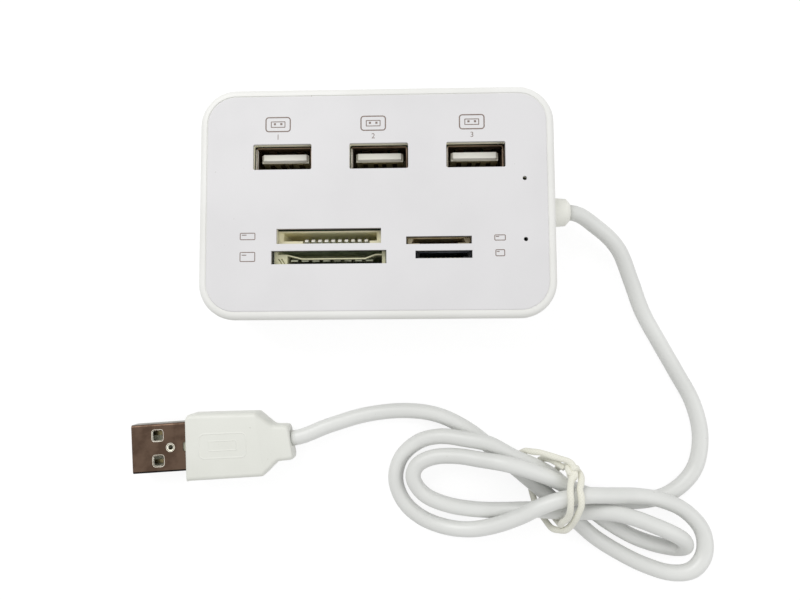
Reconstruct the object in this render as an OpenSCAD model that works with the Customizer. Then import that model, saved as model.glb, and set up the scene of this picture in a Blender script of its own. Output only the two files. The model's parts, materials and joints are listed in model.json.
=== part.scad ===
// Desk hub with three sockets, four card slots and a captive lead
// Units are millimetres. The origin is the middle of the base, on the desk.
// X runs along the long side, Y across the face and Z up through the face.

/* [Housing] */
// Length of the housing
hub_w = 82.4; // [80:0.2:90]
// Depth of the housing
hub_d = 54; // [52:0.5:60]
// Height of the housing
hub_h = 20; // [19:0.5:22]
// Radius of the housing corners, seen from above
corner_r = 8.5; // [7.5:0.5:10]
// Radius of the rounded upper edge
edge_r = 1.4; // [1:0.1:1.6]
// Radius of the lower edge
foot_r = 1; // [0.5:0.25:1.5]
// How far the walls lean in at the foot
draft = 0.8; // [0.4:0.1:1.2]
// Width of the rim that shows round the face panel
rim_w = 1.7; // [1.6:0.1:2.6]
// Width of the ledge under the face panel
ledge_w = 1.6; // [1.2:0.1:2]
// Thickness of the housing floor
floor_t = 1.8; // [1.4:0.1:2.4]

/* [Face panel] */
// Thickness of the face panel
panel_t = 2; // [1.6:0.1:2.4]
// Groove left between panel and rim
panel_gap = 0.1; // [0.05:0.05:0.3]
// Rounded edge of the panel
panel_edge_r = 0.4; // [0.2:0.1:0.8]
// Clearance of an aperture round its socket
aperture_gap = 0.2; // [0.1:0.05:0.35]
// Diameter of the holes over the lamps
lamp_hole_d = 1; // [0.8:0.1:1.6]
// Distance of the lamps from the housing's right side
lamp_inset = 7.1; // [6.8:0.1:8]

/* [Board] */
// Space between the main board and the walls
board_gap = 1.7; // [1:0.1:3]
// Thickness of the main board
board_t = 1.2; // [0.8:0.1:1.6]
// Height of the posts above the housing floor
post_h = 1.4; // [1:0.1:2]
// Diameter of the posts
post_d = 8; // [7:0.5:9]
// Distance of the screws from the housing's sides
screw_inset = 8.5; // [8:0.1:9]
// Diameter of the bosses under the face panel
boss_d = 4.6; // [4:0.1:5]
// Outer diameter of the screw thread
screw_d = 2; // [1.8:0.1:2.2]
// Diameter of the screw head
screw_head_d = 3.8; // [3.4:0.1:4.2]
// Height of the screw head
screw_head_h = 1.3; // [1:0.1:1.5]
// Length of the screw under its head
screw_len = 8; // [6:0.5:9]
// Clearance round a screw
screw_gap = 0.15; // [0.1:0.05:0.25]

/* [Type A sockets] */
// Place of the middle socket along X
usb_x = 0.6; // [-1:0.1:1]
// Place of the socket row along Y
usb_y = 10.8; // [9:0.1:13]
// Distance between sockets
usb_pitch = 22.4; // [20:0.1:23]
// Width of a socket shell
usb_shell_w = 13.2; // [13:0.1:13.4]
// Depth of a socket shell
usb_shell_d = 5.6; // [5.6:0.05:6]
// Sheet thickness of a socket shell
usb_sheet = 0.3; // [0.25:0.05:0.4]
// Gap between the shell's mouth and the face panel
mouth_gap = 0.2; // [0.1:0.1:0.5]
// Width of a socket tongue
tongue_w = 11.1; // [11:0.1:11.5]
// Thickness of a socket tongue
tongue_t = 1.9; // [1.8:0.05:2]
// Distance from the tongue's end to the shell's mouth
tongue_set_back = 1.2; // [0.8:0.1:2]
// Shift of the tongue off the socket's middle
tongue_shift = 0.5; // [0.3:0.05:0.6]

/* [Card slots] */
// Place of the pair of wide slots along X
wide_slot_x = -11; // [-12:0.1:-10.5]
// Place of the pair of narrow slots along X
narrow_slot_x = 15; // [14.5:0.1:16]
// Place of the upper wide slot along Y
upper_slot_y = -7.8; // [-8.2:0.1:-7.4]
// Place of the lower wide slot along Y
lower_slot_y = -12.7; // [-13.2:0.1:-12.4]
// Place of the upper narrow slot along Y
upper_narrow_y = -9; // [-9.3:0.1:-8.6]
// Place of the lower narrow slot along Y
lower_narrow_y = -12.3; // [-12.8:0.1:-12.1]
// Width of the upper wide slot
stick_slot_w = 24.1; // [23.5:0.1:24.5]
// Depth of the upper wide slot
stick_slot_d = 3.5; // [3.3:0.1:3.6]
// Width of the lower wide slot
card_slot_w = 26.5; // [26:0.1:27]
// Depth of the lower wide slot
card_slot_d = 3.1; // [2.9:0.1:3.2]
// Width of the upper narrow slot
micro_stick_slot_w = 15; // [14.5:0.1:15.5]
// Width of the lower narrow slot
micro_card_slot_w = 13; // [12.6:0.1:13.5]
// Depth of the narrow slots
micro_slot_d = 1.8; // [1.7:0.05:1.9]

/* [Lead] */
// Diameter of the cable
cable_d = 3.8; // [3.4:0.1:3.8]
// Diameter of the strain relief at the wall
relief_d = 7.2; // [6.6:0.1:7.6]
// Diameter of the strain relief at its end
relief_end_d = 6.6; // [5.6:0.1:6.8]
// Thickness of the elastic tie
tie_d = 1.5; // [1.3:0.1:1.5]

/* [Plug] */
// Length of the plug's moulded body
grip_len = 17.9; // [16:0.1:20]
// Width of the plug's moulded body
grip_w = 16.4; // [15:0.1:17]
// Thickness of the plug's moulded body
grip_t = 8; // [7.6:0.1:8.4]
// Length of the tapered shoulder
shoulder_len = 4.2; // [3:0.1:5]
// Length of the neck
neck_len = 3.5; // [3:0.1:5]
// Width of the neck
neck_w = 8.4; // [7.4:0.1:9]
// Thickness of the neck
neck_t = 6; // [5.4:0.1:6.6]
// Length of the plug's metal shell outside the body
shell_out = 13.9; // [12.8:0.1:14.2]
// Width of the plug's metal shell
plug_w = 12; // [11.9:0.05:12.1]
// Thickness of the plug's metal shell
plug_t = 4.5; // [4.4:0.05:4.6]
// Sheet thickness of the plug's metal shell
plug_sheet = 0.3; // [0.25:0.05:0.35]

/* [Hidden] */
$fn = 48;
eps = 0.01;

// Heights worked out from the floor up
board_z = floor_t + post_h;
board_top = board_z + board_t;
panel_z = hub_h - panel_t;
socket_top = panel_z - mouth_gap;

// Plan sizes worked out from the housing
panel_w = hub_w - 2 * (rim_w + panel_gap);
panel_d = hub_d - 2 * (rim_w + panel_gap);
panel_r = corner_r - rim_w - panel_gap;
wall_t = rim_w + ledge_w;
room_w = hub_w - 2 * wall_t;
room_d = hub_d - 2 * wall_t;
room_r = corner_r - wall_t;
board_w = room_w - 2 * board_gap;
board_d = room_d - 2 * board_gap;

// Screws, bosses and posts share one pattern
screw_pitch_x = hub_w - 2 * screw_inset;
screw_pitch_y = hub_d - 2 * screw_inset;
boss_hole_d = boss_d + 0.6;
pilot_d = screw_d + 2 * screw_gap;
counterbore_d = screw_head_d + 2 * screw_gap;
counterbore_h = screw_head_h + 0.3;

// Lamps stand in a column at the right
lamp_x = hub_w / 2 - lamp_inset;
lamp_y = [5.1, -9];
lamp_d = 3;

// The lead leaves the right wall along X
exit_z = hub_h / 2;
exit_y = -1;
relief_len = 4.2;
relief_tip_d = 4.6;
relief_neck_d = 5.4;
relief_flange_d = 8;
relief_flange_t = 1.4;
relief_chamfer = 0.9;
relief_sink = 0.75 * draft;
relief_gap = 0.1;
exit_x = hub_w / 2 + relief_len + relief_chamfer;

// The plug lies on the desk, its neck at the lead's far end
plug_at = [-22.3, -56, grip_t / 2];
plug_turn = 3.6;
plug_len = neck_len + shoulder_len + grip_len;
shell_in = 6;
plug_fit = 0.1;

// Sockets stand on the board and end just under the face
socket_h = socket_top - board_top;
socket_web = 1.2;
capacitor_x = 23.5;
capacitor_pitch = 7;

module at_corners(w, d, r) {
    for (turn = [0 : 3]) {
        sx = (turn == 0 || turn == 3) ? 1 : -1;
        sy = (turn < 2) ? 1 : -1;
        translate([sx * (w / 2 - r), sy * (d / 2 - r), 0])
            rotate([0, 0, 90 * turn])
                children();
    }
}

module rounded_plate(w, d, r, h) {
    linear_extrude(h)
        rounded_outline(w, d, r);
}

module rounded_outline(w, d, r) {
    square([w - 2 * r, d], center = true);
    square([w, d - 2 * r], center = true);
    for (sx = [-1, 1], sy = [-1, 1])
        translate([sx * (w / 2 - r), sy * (d / 2 - r)])
            circle(r);
}

// Carries a wall section round a rounded rectangle. The section is drawn
// with its outer side at x = 0 and the wall reaching into negative x.
module wall_round(w, d, r) {
    at_corners(w, d, r)
        rotate_extrude(angle = 90)
            translate([r, 0])
                children();
    for (side = [-1, 1]) {
        rotate([0, 0, side * 90])
            translate([d / 2, 0, 0])
                straight_run(w - 2 * r)
                    children();
        rotate([0, 0, 90 - side * 90])
            translate([w / 2, 0, 0])
                straight_run(d - 2 * r)
                    children();
    }
}

module straight_run(length) {
    translate([0, length / 2, 0])
        rotate([90, 0, 0])
            linear_extrude(length)
                children();
}

// Section of the housing wall: it leans in towards the foot, both edges are
// rounded and a ledge inside the rim carries the face panel
module wall_section() {
    upper = hub_h - edge_r;
    polygon([[-wall_t, 0], [-draft - foot_r, 0], [-draft, foot_r], [0, upper],
             [-edge_r, hub_h], [-rim_w, hub_h], [-rim_w, panel_z], [-wall_t, panel_z]]);
    translate([-edge_r, upper])
        intersection() {
            circle(edge_r);
            square(edge_r);
        }
    translate([-draft - foot_r, foot_r])
        intersection() {
            circle(foot_r);
            translate([0, -foot_r])
                square(foot_r);
        }
}

module bottom_shell() {
    color([0.9, 0.91, 0.89])
        difference() {
            union() {
                wall_round(hub_w, hub_d, corner_r)
                    wall_section();
                rounded_plate(room_w + 1, room_d + 1, room_r, floor_t);
                at_screws()
                    cylinder(h = board_z, d = post_d);
                relief_seat();
            }
            at_screws() {
                translate([0, 0, -1])
                    cylinder(h = board_z + 2, d = pilot_d);
                translate([0, 0, -1])
                    cylinder(h = counterbore_h + 1, d = counterbore_d);
            }
            relief_bore();
        }
}

module at_screws() {
    for (sx = [-1, 1], sy = [-1, 1])
        translate([sx * screw_pitch_x / 2, sy * screw_pitch_y / 2, 0])
            children();
}

// Round pad inside the wall that backs the strain relief's flange
module relief_seat() {
    translate([hub_w / 2 - wall_t - 1, exit_y, exit_z])
        rotate([0, 90, 0])
            cylinder(h = 1.5, d = relief_flange_d + 2);
}

// Bore for the strain relief's neck, with a shallow round seat outside
module relief_bore() {
    translate([hub_w / 2, exit_y, exit_z])
        rotate([0, 90, 0]) {
            translate([0, 0, -wall_t - 2])
                cylinder(h = wall_t + 4, d = relief_neck_d);
            translate([0, 0, -relief_sink])
                cylinder(h = relief_sink + 2, d = relief_d + 0.6 + 2 * relief_gap);
        }
}

module top_cover() {
    color([0.88, 0.875, 0.88])
        difference() {
            union() {
                translate([0, 0, panel_z]) {
                    wall_round(panel_w, panel_d, panel_r)
                        panel_edge();
                    rounded_plate(panel_w - 4, panel_d - 4, panel_r - 2, panel_t);
                }
                at_screws()
                    translate([0, 0, board_z])
                        cylinder(h = panel_z - board_z + 1, d = boss_d);
            }
            at_screws()
                translate([0, 0, board_z - 1])
                    cylinder(h = screw_len + 1, d = pilot_d);
            translate([0, 0, panel_z - 1])
                linear_extrude(panel_t + 2)
                    face_openings();
        }
}

module panel_edge() {
    translate([-3, 0])
        square([3, panel_t - panel_edge_r]);
    translate([-3, 0])
        square([3 - panel_edge_r, panel_t]);
    translate([-panel_edge_r, panel_t - panel_edge_r])
        circle(panel_edge_r);
}

module face_openings() {
    for (i = [0 : 2])
        translate([usb_at(i), usb_y])
            rounded_outline(usb_shell_w + 2 * aperture_gap, usb_shell_d + 2 * aperture_gap, 0.4);
    translate([wide_slot_x, upper_slot_y])
        square([stick_slot_w, stick_slot_d], center = true);
    translate([wide_slot_x, lower_slot_y])
        square([card_slot_w, card_slot_d], center = true);
    translate([narrow_slot_x - 0.7, upper_narrow_y])
        square([micro_stick_slot_w, micro_slot_d], center = true);
    translate([narrow_slot_x + 0.4, lower_narrow_y])
        square([micro_card_slot_w, micro_slot_d], center = true);
    for (y = lamp_y)
        translate([lamp_x, y])
            circle(d = lamp_hole_d);
}

function usb_at(i) = usb_x + (i - 1) * usb_pitch;

module main_board() {
    color([0.12, 0.36, 0.22])
        translate([0, 0, board_z])
            difference() {
                rounded_plate(board_w, board_d, 2, board_t);
                at_screws()
                    translate([0, 0, -1])
                        cylinder(h = board_t + 2, d = boss_hole_d);
            }
}

// Folded sheet shell of one upright socket, with two bent springs a side
module usb_shell(i) {
    spring_w = 2;
    spring_h = 5.6;
    spring_z = 0.42 * socket_h;
    color([0.72, 0.72, 0.72])
        translate([usb_at(i), usb_y, board_top]) {
            difference() {
                rounded_plate(usb_shell_w, usb_shell_d, 0.6, socket_h);
                translate([0, 0, -1])
                    rounded_plate(usb_shell_w - 2 * usb_sheet,
                                  usb_shell_d - 2 * usb_sheet, 0.3, socket_h + 2);
                for (sx = [-1, 1])
                    translate([sx * usb_shell_w / 4, 0, spring_z + spring_h / 2])
                        cube([spring_w + 0.8, usb_shell_d + 2, spring_h], center = true);
            }
            for (turn = [0, 180], sx = [-1, 1])
                rotate([0, 0, turn])
                    translate([sx * usb_shell_w / 4 - spring_w / 2, usb_shell_d / 2, spring_z])
                        shell_spring(spring_w, spring_h);
        }
}

// Spring of a socket shell: rooted below, it leans into the socket and its
// free end turns back out to let the plug slide past
module shell_spring(w, h) {
    reach = 0.5;
    rotate([90, 0, 90])
        linear_extrude(w)
            polygon([[0, -0.4], [0, 0.4], [-reach, h - 1.9], [0, h - 0.3],
                     [-usb_sheet, h - 0.3], [-reach - usb_sheet, h - 1.9],
                     [-usb_sheet, 0.4], [-usb_sheet, -0.4]]);
}

module usb_tongue(i) {
    h = socket_h - tongue_set_back;
    block_h = 3;
    color([0.95, 0.94, 0.88])
        translate([usb_at(i), usb_y, board_top]) {
            rounded_plate(usb_shell_w - 2 * usb_sheet - 0.2,
                          usb_shell_d - 2 * usb_sheet - 0.2, 0.25, block_h);
            translate([0, tongue_shift, block_h - eps])
                linear_extrude(h - block_h - 0.5)
                    square([tongue_w, tongue_t], center = true);
            translate([0, tongue_shift, h - 0.6])
                tongue_tip();
        }
}

// Bevelled end of the tongue: a ridge with sloping ends and sides
module tongue_tip() {
    tip = 0.7;
    bevel = 0.5;
    rotate([90, 0, 0])
        translate([0, 0, -tongue_t / 2])
            linear_extrude(tongue_t - bevel)
                polygon([[-tongue_w / 2, 0], [tongue_w / 2, 0],
                         [tongue_w / 2 - bevel, tip], [bevel - tongue_w / 2, tip]]);
    rotate([90, 0, 90])
        translate([0, 0, -tongue_w / 2 + bevel])
            linear_extrude(tongue_w - 2 * bevel)
                polygon([[-tongue_t / 2, 0], [tongue_t / 2, 0],
                         [tongue_t / 2, tip], [bevel - tongue_t / 2, tip]]);
}

// Four flat springs on the tongue, each with a raised contact knee
module usb_contacts(i) {
    h = socket_h - tongue_set_back;
    strip_w = 1;
    strip_t = 0.2;
    knee = 0.45;
    face_y = tongue_shift - tongue_t / 2;
    color([0.85, 0.68, 0.3])
        translate([usb_at(i), usb_y, board_top])
            for (x = [-3.5, -1, 1, 3.5])
                translate([x + strip_w / 2, face_y, 0])
                    rotate([90, 0, -90])
                        linear_extrude(strip_w)
                            polygon([[0, 3], [strip_t, 3], [strip_t, h - 4.4],
                                     [knee, h - 3.2], [strip_t, h - 2], [strip_t, h - 1],
                                     [0, h - 1]]);
}

// Moulded body of an upright card socket: a block on the board, hollowed from
// above by the card's room, which is given as plan shapes
module socket_body(w, back, front) {
    difference() {
        translate([-w / 2, -front, 0])
            cube([w, front + back, socket_h]);
        translate([0, 0, socket_web])
            linear_extrude(socket_h)
                children();
    }
}

// Row of contact places, centred on shift
module places(count, pitch, shift = 0) {
    for (k = [0 : count - 1])
        translate([shift + (k - (count - 1) / 2) * pitch, 0, 0])
            children();
}

// One upright spring: its foot lies on the board, the strip leans to the card
// in a knee and the tip turns back. reach is the knee's distance from the strip.
module contact_spring(w, h, reach, knee_z, tip = 0) {
    strip = 0.25;
    foot = 0.7;
    translate([w / 2, 0, 0])
        rotate([90, 0, -90])
            linear_extrude(w)
                polygon([[foot, 0], [foot, strip], [0, strip], [0, knee_z - 2.4],
                         [-reach, knee_z], [0, h - 0.5], [0, h], [-strip - tip, h],
                         [-strip - tip, h - 0.4], [-strip, h - 0.5],
                         [-strip - reach, knee_z], [-strip, knee_z - 2.4], [-strip, 0]]);
}

// Sheet cover behind a socket: a flat back with a flange at each end
module sheet_cover(w, back, front, drop) {
    sheet = 0.25;
    gap = 0.02;
    h = socket_h - drop;
    translate([-w / 2 - sheet - gap, back + gap, 0])
        cube([w + 2 * (sheet + gap), sheet, h]);
    for (sx = [-1, 1])
        translate([sx * (w / 2 + sheet / 2 + gap), (back - front + 0.4) / 2 + gap, h / 2])
            cube([sheet, back + front - 0.4, h], center = true);
}

stick_w = stick_slot_w + 0.2;
stick_back = 1.5;
stick_front = 1.5;
stick_room_w = 21.8;
stick_room_d = 2;

// Upper wide socket: its room has a sloping mouth and the wall with the
// contacts is cut away along the whole row
module stick_socket() {
    row_w = 15.6;
    lead_in = 0.7;
    color([0.9, 0.87, 0.76])
        translate([wide_slot_x, upper_slot_y, board_top])
            difference() {
                socket_body(stick_w, stick_back, stick_front)
                    translate([-stick_room_w / 2, -0.85])
                        square([stick_room_w, stick_room_d]);
                translate([0, -0.85 + stick_room_d, socket_h])
                    rotate([90, 0, 0])
                        linear_extrude(stick_room_d)
                            mouth_slope(stick_room_w, lead_in);
                translate([stick_shift - row_w / 2, -stick_front - 1, -1])
                    cube([row_w, stick_front + 0.16 + eps, socket_h + 2]);
            }
}

// Section of a mouth that widens upwards
module mouth_slope(w, lead_in) {
    polygon([[-w / 2 - lead_in, 1], [w / 2 + lead_in, 1], [w / 2 + lead_in, 0],
             [w / 2, -lead_in], [-w / 2, -lead_in], [-w / 2 - lead_in, 0]]);
}

stick_pitch = 1.55;
stick_shift = 1.5;

module stick_contacts() {
    color([0.93, 0.9, 0.82])
        translate([wide_slot_x, upper_slot_y - stick_front + 0.1, board_top])
            places(10, stick_pitch, stick_shift)
                contact_spring(0.75, socket_h - 0.5, 0.6, socket_h - 1.6);
}

module stick_cover() {
    color([0.5, 0.47, 0.4])
        translate([wide_slot_x, upper_slot_y, board_top])
            sheet_cover(stick_w, stick_back, stick_front, 2.4);
}

card_w = card_slot_w - 0.6;
card_back = 2.2;
card_front = 1.35;
card_room_w = 24.3;
card_pitch = 2.5;
card_shift = 0.4;

// Lower wide socket: a thin ridge, set deeper along the middle, parts the
// card's room from the contacts, whose knees come through windows in it
module card_socket() {
    ridge_t = 0.3;
    end_y = 0.95;
    middle_y = 0.05;
    ramp = [-9.9, -6.5, 8.2, 10.6];
    half = card_room_w / 2;
    color([0.88, 0.86, 0.76])
        translate([wide_slot_x, lower_slot_y, board_top])
            difference() {
                socket_body(card_w, card_back, card_front)
                    polygon([[-half, card_back + 1], [half, card_back + 1], [half, end_y],
                             [ramp[3], end_y], [ramp[2], middle_y], [ramp[1], middle_y],
                             [ramp[0], end_y], [-half, end_y]]);
                translate([0, -ridge_t, -1])
                    linear_extrude(socket_h + 2)
                        polygon([[ramp[0], -3], [half, -3], [half, end_y], [ramp[3], end_y],
                                 [ramp[2], middle_y], [ramp[1], middle_y], [ramp[0], end_y]]);
                translate([0, 0, socket_h - 3.5])
                    places(8, card_pitch, card_shift)
                        cube([1.9, 1.6, 4.6], center = true);
                for (x = [-11.6, -10.9])
                    translate([x, -0.6, socket_h])
                        rotate([0, 0, 35])
                            cube([0.25, 1.4, 1.6], center = true);
            }
}

module card_contacts() {
    color([0.6, 0.58, 0.48])
        translate([wide_slot_x, lower_slot_y - 0.65, board_top])
            places(8, card_pitch, card_shift)
                contact_spring(1.6, socket_h - 0.6, 0.85, socket_h - 3, 0.1);
}

module card_cover() {
    color([0.6, 0.64, 0.6])
        translate([wide_slot_x, lower_slot_y, board_top])
            sheet_cover(card_w, card_back, card_front, 0.4);
}

micro_half = micro_slot_d / 2 - 0.2;
micro_stick_x = narrow_slot_x - 0.7;
micro_card_x = narrow_slot_x + 0.4;
micro_stick_w = micro_stick_slot_w - 0.8;
micro_card_w = micro_card_slot_w - 0.8;

// Body of a narrow socket. The card's room is open to the cover, its ends
// are end_w thick and lean in by slant, and the contacts' wall is cut away.
module micro_body(w, end_w, slant) {
    row_w = 8.8;
    wall = 0.35;
    lead_in = 0.5;
    half = w / 2 - end_w;
    difference() {
        socket_body(w, micro_half, micro_half)
            polygon([[-half, wall - micro_half], [half, wall - micro_half],
                     [half - slant, micro_half + 1], [slant - half, micro_half + 1]]);
        translate([0, micro_half + 1, socket_h])
            rotate([90, 0, 0])
                linear_extrude(2 * micro_half + 1 - wall)
                    mouth_slope(2 * half - 2 * slant, lead_in);
        translate([-row_w / 2, -micro_half - 1, -1])
            cube([row_w, 1 + wall + eps, socket_h + 2]);
    }
}

module micro_contacts() {
    translate([0, 0.1 - micro_half, 0])
        places(8, 1.1)
            contact_spring(0.5, socket_h - 1, 0.3, socket_h - 2.2);
}

module micro_stick_socket() {
    color([0.6, 0.52, 0.38])
        translate([micro_stick_x, upper_narrow_y, board_top])
            micro_body(micro_stick_w, 0.8, 0.9);
}

module micro_stick_contacts() {
    color([0.85, 0.68, 0.3])
        translate([micro_stick_x, upper_narrow_y, board_top])
            micro_contacts();
}

module micro_stick_cover() {
    color([0.6, 0.52, 0.38])
        translate([micro_stick_x, upper_narrow_y, board_top])
            sheet_cover(micro_stick_w, micro_half, micro_half, 0.4);
}

module micro_card_socket() {
    color([0.15, 0.15, 0.16])
        translate([micro_card_x, lower_narrow_y, board_top])
            micro_body(micro_card_w, 0.5, 0.2);
}

module micro_card_contacts() {
    color([0.85, 0.68, 0.3])
        translate([micro_card_x, lower_narrow_y, board_top])
            micro_contacts();
}

module micro_card_cover() {
    color([0.25, 0.25, 0.25])
        translate([micro_card_x, lower_narrow_y, board_top])
            sheet_cover(micro_card_w, micro_half, micro_half, 0.4);
}

// Flat chip with gull-wing pins along its two long sides
module chip(w, d, pins, pitch) {
    body_h = 1.5;
    translate([-w / 2, -d / 2, 0.15])
        cube([w, d, body_h]);
    for (k = [0 : pins - 1], sy = [-1, 1])
        translate([(k - (pins - 1) / 2) * pitch - 0.15, sy * (d / 2 + 0.5) - 0.5, 0])
            cube([0.3, 1, 0.6]);
}

module hub_chip() {
    color([0.12, 0.12, 0.12])
        translate([-21.8, 1.5, board_top])
            chip(10, 4, 14, 0.65);
}

module reader_chip() {
    color([0.12, 0.12, 0.12])
        translate([-4, 1.5, board_top])
            chip(12, 6, 16, 0.7);
}

module crystal() {
    color([0.75, 0.75, 0.73])
        translate([9, 1.5, board_top]) {
            rounded_plate(10.5, 4.2, 2, 0.5);
            translate([0, 0, 0.5])
                rounded_plate(9.8, 3.6, 1.75, 2.8);
        }
}

module capacitors() {
    color([0.25, 0.27, 0.35])
        for (sx = [-1, 1])
            translate([capacitor_x + sx * capacitor_pitch / 2, 1.5, board_top])
                cylinder(h = 6.5, d = 5);
}

// Small lamp on two leads, its dome just under the hole in the face
module led(i) {
    dome_r = lamp_d / 2;
    top = panel_z - 0.4;
    body_h = 3.4;
    color([0.85, 0.9, 0.85])
        translate([lamp_x, lamp_y[i], 0]) {
            translate([0, 0, top - dome_r])
                intersection() {
                    sphere(dome_r);
                    cylinder(h = dome_r, r = dome_r);
                }
            translate([0, 0, top - dome_r - body_h])
                cylinder(h = body_h, r = dome_r);
            translate([0, 0, top - dome_r - body_h - 0.8])
                cylinder(h = 0.8, r = dome_r + 0.35);
            for (sx = [-1, 1])
                translate([sx * 1.27 / 2 - 0.2, -0.2, board_top])
                    cube([0.4, 0.4, top - dome_r - body_h - 0.4 - board_top]);
        }
}

module housing_screws() {
    color([0.6, 0.6, 0.62])
        at_screws()
            translate([0, 0, counterbore_h - screw_head_h]) {
                difference() {
                    cylinder(h = screw_head_h, d = screw_head_d);
                    translate([0, 0, -0.1])
                        cross_slot();
                }
                translate([0, 0, screw_head_h - eps])
                    cylinder(h = screw_len, d = screw_d);
            }
}

module cross_slot() {
    for (turn = [0, 90])
        rotate([0, 0, turn])
            translate([-screw_head_d * 0.3, -0.25, 0])
                cube([screw_head_d * 0.6, 0.5, 0.8]);
}

// Moulded collar that holds the lead in the wall, turned about X
module strain_relief() {
    inside = wall_t + 1 + relief_flange_t;
    color([0.88, 0.89, 0.85])
        translate([hub_w / 2, exit_y, exit_z])
            rotate([0, 90, 0])
                rotate_extrude()
                    polygon([[0, -inside], [relief_flange_d / 2, -inside],
                             [relief_flange_d / 2, relief_flange_t - inside],
                             [relief_neck_d / 2 - relief_gap, relief_flange_t - inside],
                             [relief_neck_d / 2 - relief_gap, -relief_sink],
                             [relief_d / 2 + 0.3, -relief_sink],
                             [relief_d / 2 + 0.3, 0], [relief_d / 2, 0.4],
                             [relief_end_d / 2, relief_len],
                             [relief_tip_d / 2, relief_len + relief_chamfer],
                             [0, relief_len + relief_chamfer]]);
}

// The lead's route, from the strain relief to the plug's neck. It drops to
// the desk, runs to the bundle, makes two turns on each side of the tie
// and goes on to the plug.
lead_route = [
    [exit_x, exit_y, exit_z], [54, -4.5, 7.5], [59.5, -9.5, 5.5], [63, -17, 3.5],
    [66, -25, 2.5], [70, -32.5, 2], [74, -40, 2], [78, -48, 2],
    [79.5, -56.5, 2], [77.5, -64.5, 2], [71.5, -70, 2], [63.5, -72, 2],
    [55, -71, 3.5], [48, -68.5, 7], [41, -65, 9.5], [35, -62.5, 11.5],
    [29.5, -61, 11.5], [24, -60.5, 9], [18.5, -60, 7], [13, -60.5, 5.5],
    [9, -62.5, 5], [8, -66, 5], [11, -70, 4.5], [17, -72.5, 4],
    [24, -73.5, 4], [30.5, -73.5, 4.5], [36.5, -73, 6], [42, -73, 7.5],
    [47.5, -73, 8], [54, -73, 8.5], [59.5, -74, 9], [65, -76, 9],
    [69.5, -78, 8.5], [72.5, -80, 7], [73.5, -82, 5], [72.5, -83, 3],
    [70, -83, 2], [66, -82, 2], [61, -80, 2], [54.5, -76, 2],
    [48, -70.5, 2.5], [42.5, -65.5, 4.5], [37.5, -62.5, 6.5], [32, -60, 7.5],
    [26.5, -57, 8], [21, -56, 7], [15, -55.5, 5], [9.5, -57, 3],
    [5, -61, 2], [3.5, -66.5, 2], [5.5, -72, 2], [10, -76, 2],
    [16, -78, 3], [22, -78, 5], [27.5, -76.5, 7], [33, -74, 9],
    [38, -71, 11], [43.5, -69, 12], [49, -68.5, 11], [55, -69, 9],
    [61, -69.5, 7], [67, -70.5, 6], [73, -73, 6], [77, -77.5, 6.5],
    [77.5, -83, 6.5], [74.5, -87, 6.5], [69.5, -88, 5.5], [63.5, -86.5, 4],
    [58, -84, 2.5], [52.5, -80.5, 2.5], [47.5, -76, 3.5], [41.5, -70.5, 4],
    [35, -65, 4], [28.5, -59.5, 4], [21.5, -54, 3.5], [14, -50.5, 2.5],
    [5.5, -49.5, 2], [-4, -50.5, 2], [-13, -53, 3], plug_at
];

function unit(v) = v / norm(v);

// Direction of a route at one of its points, given at both ends
function heading(path, i, first, last) =
    i == 0 ? first : i == len(path) - 1 ? last : unit(path[i + 1] - path[i - 1]);

function ring(centre, along, r, sides) =
    let (across = unit(cross(along, [0, 0, 1])), up = cross(across, along))
    [for (k = [0 : sides - 1])
        centre + r * (cos(360 * k / sides) * across + sin(360 * k / sides) * up)];

// Straight-sided tube along a route, one ring of points at each of its points
module tube(path, r, first, last, sides = 8) {
    n = len(path);
    points = [for (i = [0 : n - 1]) each ring(path[i], heading(path, i, first, last), r, sides)];
    sides_faces = [for (i = [0 : n - 2], k = [0 : sides - 1])
        let (a = i * sides + k, b = i * sides + (k + 1) % sides)
        each [[a, a + sides, b], [b, a + sides, b + sides]]];
    near_end = [for (k = [0 : sides - 1]) k];
    far_end = [for (k = [sides - 1 : -1 : 0]) (n - 1) * sides + k];
    polyhedron(points, concat(sides_faces, [near_end, far_end]));
}

module cable() {
    plug_axis = [-cos(plug_turn), -sin(plug_turn), 0];
    color([0.88, 0.88, 0.88])
        tube(lead_route, cable_d / 2, [1, 0, 0], plug_axis);
}

module on_plug() {
    translate(plug_at)
        rotate([0, 0, plug_turn])
            children();
}

// Moulded grip: a slab with rounded edges, a tapered shoulder and a neck
module plug_overmould() {
    color([0.89, 0.89, 0.86])
        on_plug()
            difference() {
                union() {
                    translate([-plug_len, 0, 0])
                        rotate([90, 0, 90])
                            linear_extrude(grip_len)
                                rounded_outline(grip_w, grip_t, 1.2);
                    hull() {
                        translate([-neck_len - shoulder_len - eps, 0, 0])
                            rotate([90, 0, 90])
                                linear_extrude(eps)
                                    rounded_outline(grip_w, grip_t, 1.2);
                        translate([-neck_len - eps, 0, 0])
                            rotate([90, 0, 90])
                                linear_extrude(eps)
                                    rounded_outline(neck_w, neck_t, 1.2);
                    }
                    translate([-neck_len - eps, 0, 0])
                        rotate([90, 0, 90])
                            linear_extrude(neck_len + eps)
                                rounded_outline(neck_w, neck_t, 1.2);
                }
                translate([-plug_len - 1, 0, 0])
                    rotate([90, 0, 90])
                        linear_extrude(shell_in + 1)
                            rounded_outline(plug_w, plug_t, 0.6);
            }
}

module plug_shell() {
    color([0.45, 0.4, 0.36])
        on_plug()
            difference() {
                translate([-plug_len - shell_out, 0, 0])
                    rotate([90, 0, 90])
                        difference() {
                            linear_extrude(shell_out + shell_in)
                                rounded_outline(plug_w, plug_t, 0.6);
                            translate([0, 0, -1])
                                linear_extrude(shell_out + shell_in + 2)
                                    rounded_outline(plug_w - 2 * plug_sheet,
                                                    plug_t - 2 * plug_sheet, 0.3);
                        }
                translate([-plug_len - shell_out, 0, 0])
                    plug_openings();
            }
}

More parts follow.
